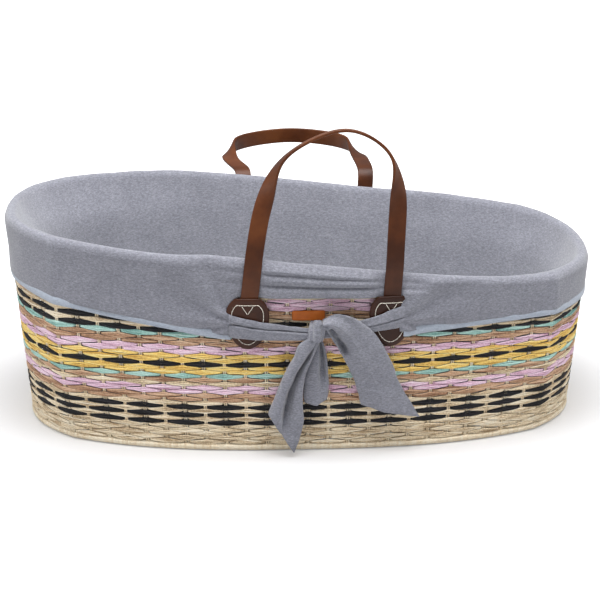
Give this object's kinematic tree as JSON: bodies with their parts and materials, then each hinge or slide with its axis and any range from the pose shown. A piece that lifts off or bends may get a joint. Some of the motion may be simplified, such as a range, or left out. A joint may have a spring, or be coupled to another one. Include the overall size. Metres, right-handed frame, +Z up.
{
  "type": "moses basket",
  "caption": "Oval woven moses basket in coloured bands, with a folded-over fabric liner tied in bows, two leather loop handles and a fitted mattress.",
  "frame": {"origin": "on the floor, under the middle of the base outline", "axes": "+X towards the low foot end, -Y towards the front with the leather tab, +Z up"},
  "size_m": [0.8346, 0.6714, 0.459],
  "materials": {
    "painted_steel": "satin",
    "natural_cord": "matte",
    "black_cord": "matte",
    "brown_cord": "matte",
    "pink_cord": "matte",
    "teal_cord": "matte",
    "yellow_cord": "matte",
    "grey_jersey": "matte",
    "hem_binding": "matte",
    "brown_leather": "satin",
    "orange_leather": "satin",
    "waxed_thread": "matte",
    "foam": "matte",
    "white_cotton": "matte"
  },
  "bodies": {
    "basket": {"back_knot": "grey_jersey", "back_patch_left": "brown_leather", "back_patch_right": "brown_leather", "back_sash_left": "grey_jersey", "back_sash_right": "grey_jersey", "back_stitching_left": "waxed_thread", "back_stitching_right": "waxed_thread", "back_strap_end_left": "brown_leather", "back_strap_end_right": "brown_leather", "back_tail_broad": "grey_jersey", "back_tail_folded": "grey_jersey", "back_tail_loop": "grey_jersey", "band_brown_low": "brown_cord", "band_brown_mid": "brown_cord", "band_check_high": "black_cord", "band_check_low": "black_cord", "band_natural_low": "natural_cord", "band_pink_high": "pink_cord", "band_pink_low": "pink_cord", "band_pink_mid": "pink_cord", "band_teal_low": "teal_cord", "band_top": "natural_cord", "band_yellow_black": "yellow_cord", "base_border": "natural_cord", "base_hoop": "painted_steel", "floor_bar_foot": "painted_steel", "floor_bar_head": "painted_steel", "floor_bar_middle": "painted_steel", "floor_rail_back": "painted_steel", "floor_rail_front": "painted_steel", "floor_weave": "natural_cord", "front_knot": "grey_jersey", "front_patch_left": "brown_leather", "front_patch_right": "brown_leather", "front_sash_left": "grey_jersey", "front_sash_right": "grey_jersey", "front_stitching_left": "waxed_thread", "front_stitching_right": "waxed_thread", "front_strap_end_left": "brown_leather", "front_strap_end_right": "brown_leather", "front_tail_broad": "grey_jersey", "front_tail_folded": "grey_jersey", "front_tail_loop": "grey_jersey", "hem_binding_foot": "hem_binding", "hem_binding_head": "hem_binding", "leather_tab": "orange_leather", "liner": "grey_jersey", "post_back_left": "painted_steel", "post_back_right": "painted_steel", "post_foot": "painted_steel", "post_front_left": "painted_steel", "post_front_right": "painted_steel", "post_head": "painted_steel", "rim_border": "natural_cord", "rim_hoop": "painted_steel", "stake_cage": "natural_cord"},
    "front_handle": {"front_handle_strap": "brown_leather"},
    "back_handle": {"back_handle_strap": "brown_leather"},
    "mattress": {"mattress_core": "foam", "mattress_sheet": "white_cotton"}
  },
  "joints": [
    {"name": "front_handle_swing", "type": "hinge", "parent": "basket", "child": "front_handle", "pos_m": [0.0205, -0.2395, 0.284], "axis": [1, 0, 0], "range_deg": [-75, 110]},
    {"name": "back_handle_swing", "type": "hinge", "parent": "basket", "child": "back_handle", "pos_m": [0.0205, 0.2395, 0.284], "axis": [-1, 0, 0], "range_deg": [-170, 15]},
    {"name": "mattress_lift", "type": "slide", "parent": "basket", "child": "mattress", "axis": [0, 0, 1], "range_m": [0, 0.18]}
  ]
}
